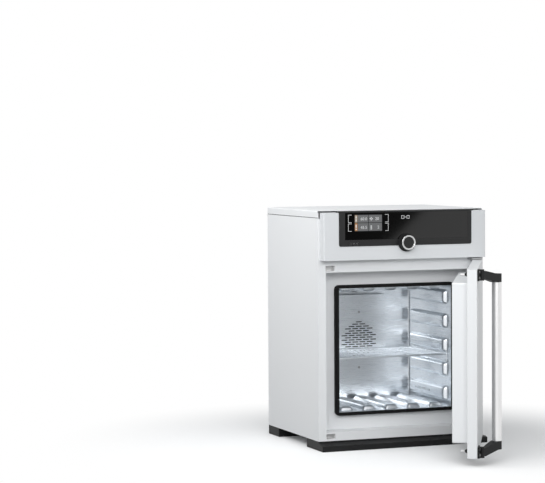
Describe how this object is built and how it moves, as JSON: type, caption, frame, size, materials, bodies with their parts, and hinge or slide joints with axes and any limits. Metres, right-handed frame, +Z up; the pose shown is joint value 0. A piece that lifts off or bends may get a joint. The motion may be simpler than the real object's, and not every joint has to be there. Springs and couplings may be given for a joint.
{
  "type": "laboratory oven",
  "caption": "Bench-top laboratory drying oven, 53-litre class, door open, with wire shelf, fan, control knob and latching bar handle.",
  "frame": {"origin": "on the floor under mid-width, in the plane of the front frame's face, on the sole of the front foot rail", "axes": "+X to the right seen from the front, +Y to the back, +Z up"},
  "size_m": [0.585, 0.9924, 0.77],
  "materials": {
    "painted_light": "satin",
    "fascia_grey": "satin",
    "zinc_sheet": "matt",
    "black_moulding": "matt",
    "black_gloss": "gloss",
    "dark_glass": "gloss",
    "display_window": "gloss",
    "silicone_black": "matt",
    "stainless": "brushed",
    "steel": "satin",
    "bronze": "satin",
    "anodised_aluminium": "satin",
    "bright_chrome": "polished",
    "white_plastic": "satin",
    "motor_grey": "matt",
    "heater_red": "matt",
    "mineral_wool": "matt",
    "circuit_board": "satin",
    "shaft_steel": "satin"
  },
  "bodies": {
    "cabinet": {"left_side_panel": "painted_light", "right_side_panel": "painted_light", "top_cover": "painted_light", "front_frame": "painted_light", "fascia": "fascia_grey", "base_tray": "zinc_sheet", "rear_panel": "zinc_sheet", "electronics_deck": "zinc_sheet", "front_foot_rail": "black_moulding", "rear_foot_rail": "black_moulding", "latch_strikes": "black_moulding", "mains_inlet": "black_moulding", "encoder_housing": "black_moulding", "power_switch_housing": "black_moulding", "panel_bezel": "black_gloss", "panel_glass": "dark_glass", "display_screen": "display_window", "door_gasket": "silicone_black", "door_buffer": "silicone_black", "chamber_left_wall": "stainless", "chamber_right_wall": "stainless", "chamber_floor": "stainless", "chamber_ceiling": "stainless", "chamber_rear_wall": "stainless", "fan_baffle": "stainless", "exhaust_pipe": "stainless", "temperature_sensor": "stainless", "baffle_screws": "stainless", "hinge_brackets": "steel", "hinge_pins": "steel", "casing_screws": "steel", "fan_motor": "motor_grey", "heater_mats": "heater_red", "insulation_sides": "mineral_wool", "insulation_top": "mineral_wool", "insulation_bottom": "mineral_wool", "insulation_rear": "mineral_wool", "control_board": "circuit_board", "power_board": "circuit_board"},
    "door": {"door_shell": "painted_light", "door_plug_panel": "painted_light", "door_insulation": "mineral_wool", "door_hinge_bushes": "bronze", "handle_corner_plates": "black_moulding", "handle_pivot_pins": "steel"},
    "handle": {"handle_bar": "anodised_aluminium", "handle_arm_upper": "black_moulding", "handle_arm_lower": "black_moulding", "latch_pins": "white_plastic"},
    "knob_plunger": {"encoder_plunger": "white_plastic"},
    "knob": {"knob_body": "black_moulding", "knob_ring": "bright_chrome", "knob_cap": "black_gloss", "encoder_shaft": "shaft_steel"},
    "power_button": {"power_button": "black_gloss"},
    "fan": {"fan_impeller": "stainless", "fan_shaft": "steel"},
    "exhaust_flap": {"exhaust_flap": "stainless"},
    "shelf": {"shelf_side_wires": "stainless", "shelf_grid": "stainless"}
  },
  "joints": [
    {"name": "door_swing", "type": "hinge", "parent": "cabinet", "child": "door", "pos_m": [0.26525, -0.01825, 0.3145], "axis": [0, 0, 1], "range_deg": [-61.75, 98.25]},
    {"name": "handle_swing", "type": "hinge", "parent": "door", "child": "handle", "pos_m": [0.04048, -0.49942, 0.3145], "axis": [0, 0, 1], "range_deg": [0, 13]},
    {"name": "knob_push", "type": "slide", "parent": "cabinet", "child": "knob_plunger", "axis": [0, 1, 0], "range_m": [0, 0.0012], "stiffness_N_per_m": 400},
    {"name": "knob_turn", "type": "hinge", "parent": "knob_plunger", "child": "knob", "pos_m": [0, -0.045, 0.6648], "axis": [0, 1, 0], "continuous": true},
    {"name": "power_button_push", "type": "slide", "parent": "cabinet", "child": "power_button", "axis": [0, 1, 0], "range_m": [0, 0.0015], "stiffness_N_per_m": 400},
    {"name": "fan_spin", "type": "hinge", "parent": "cabinet", "child": "fan", "pos_m": [0, 0.367, 0.317], "axis": [0, 1, 0], "continuous": true},
    {"name": "vent_flap_turn", "type": "hinge", "parent": "cabinet", "child": "exhaust_flap", "pos_m": [0, 0.428, 0.479], "axis": [0, 0, 1], "range_deg": [0, 90]},
    {"name": "shelf_slide", "type": "slide", "parent": "cabinet", "child": "shelf", "axis": [0, -1, 0], "range_m": [0, 0.078]}
  ]
}
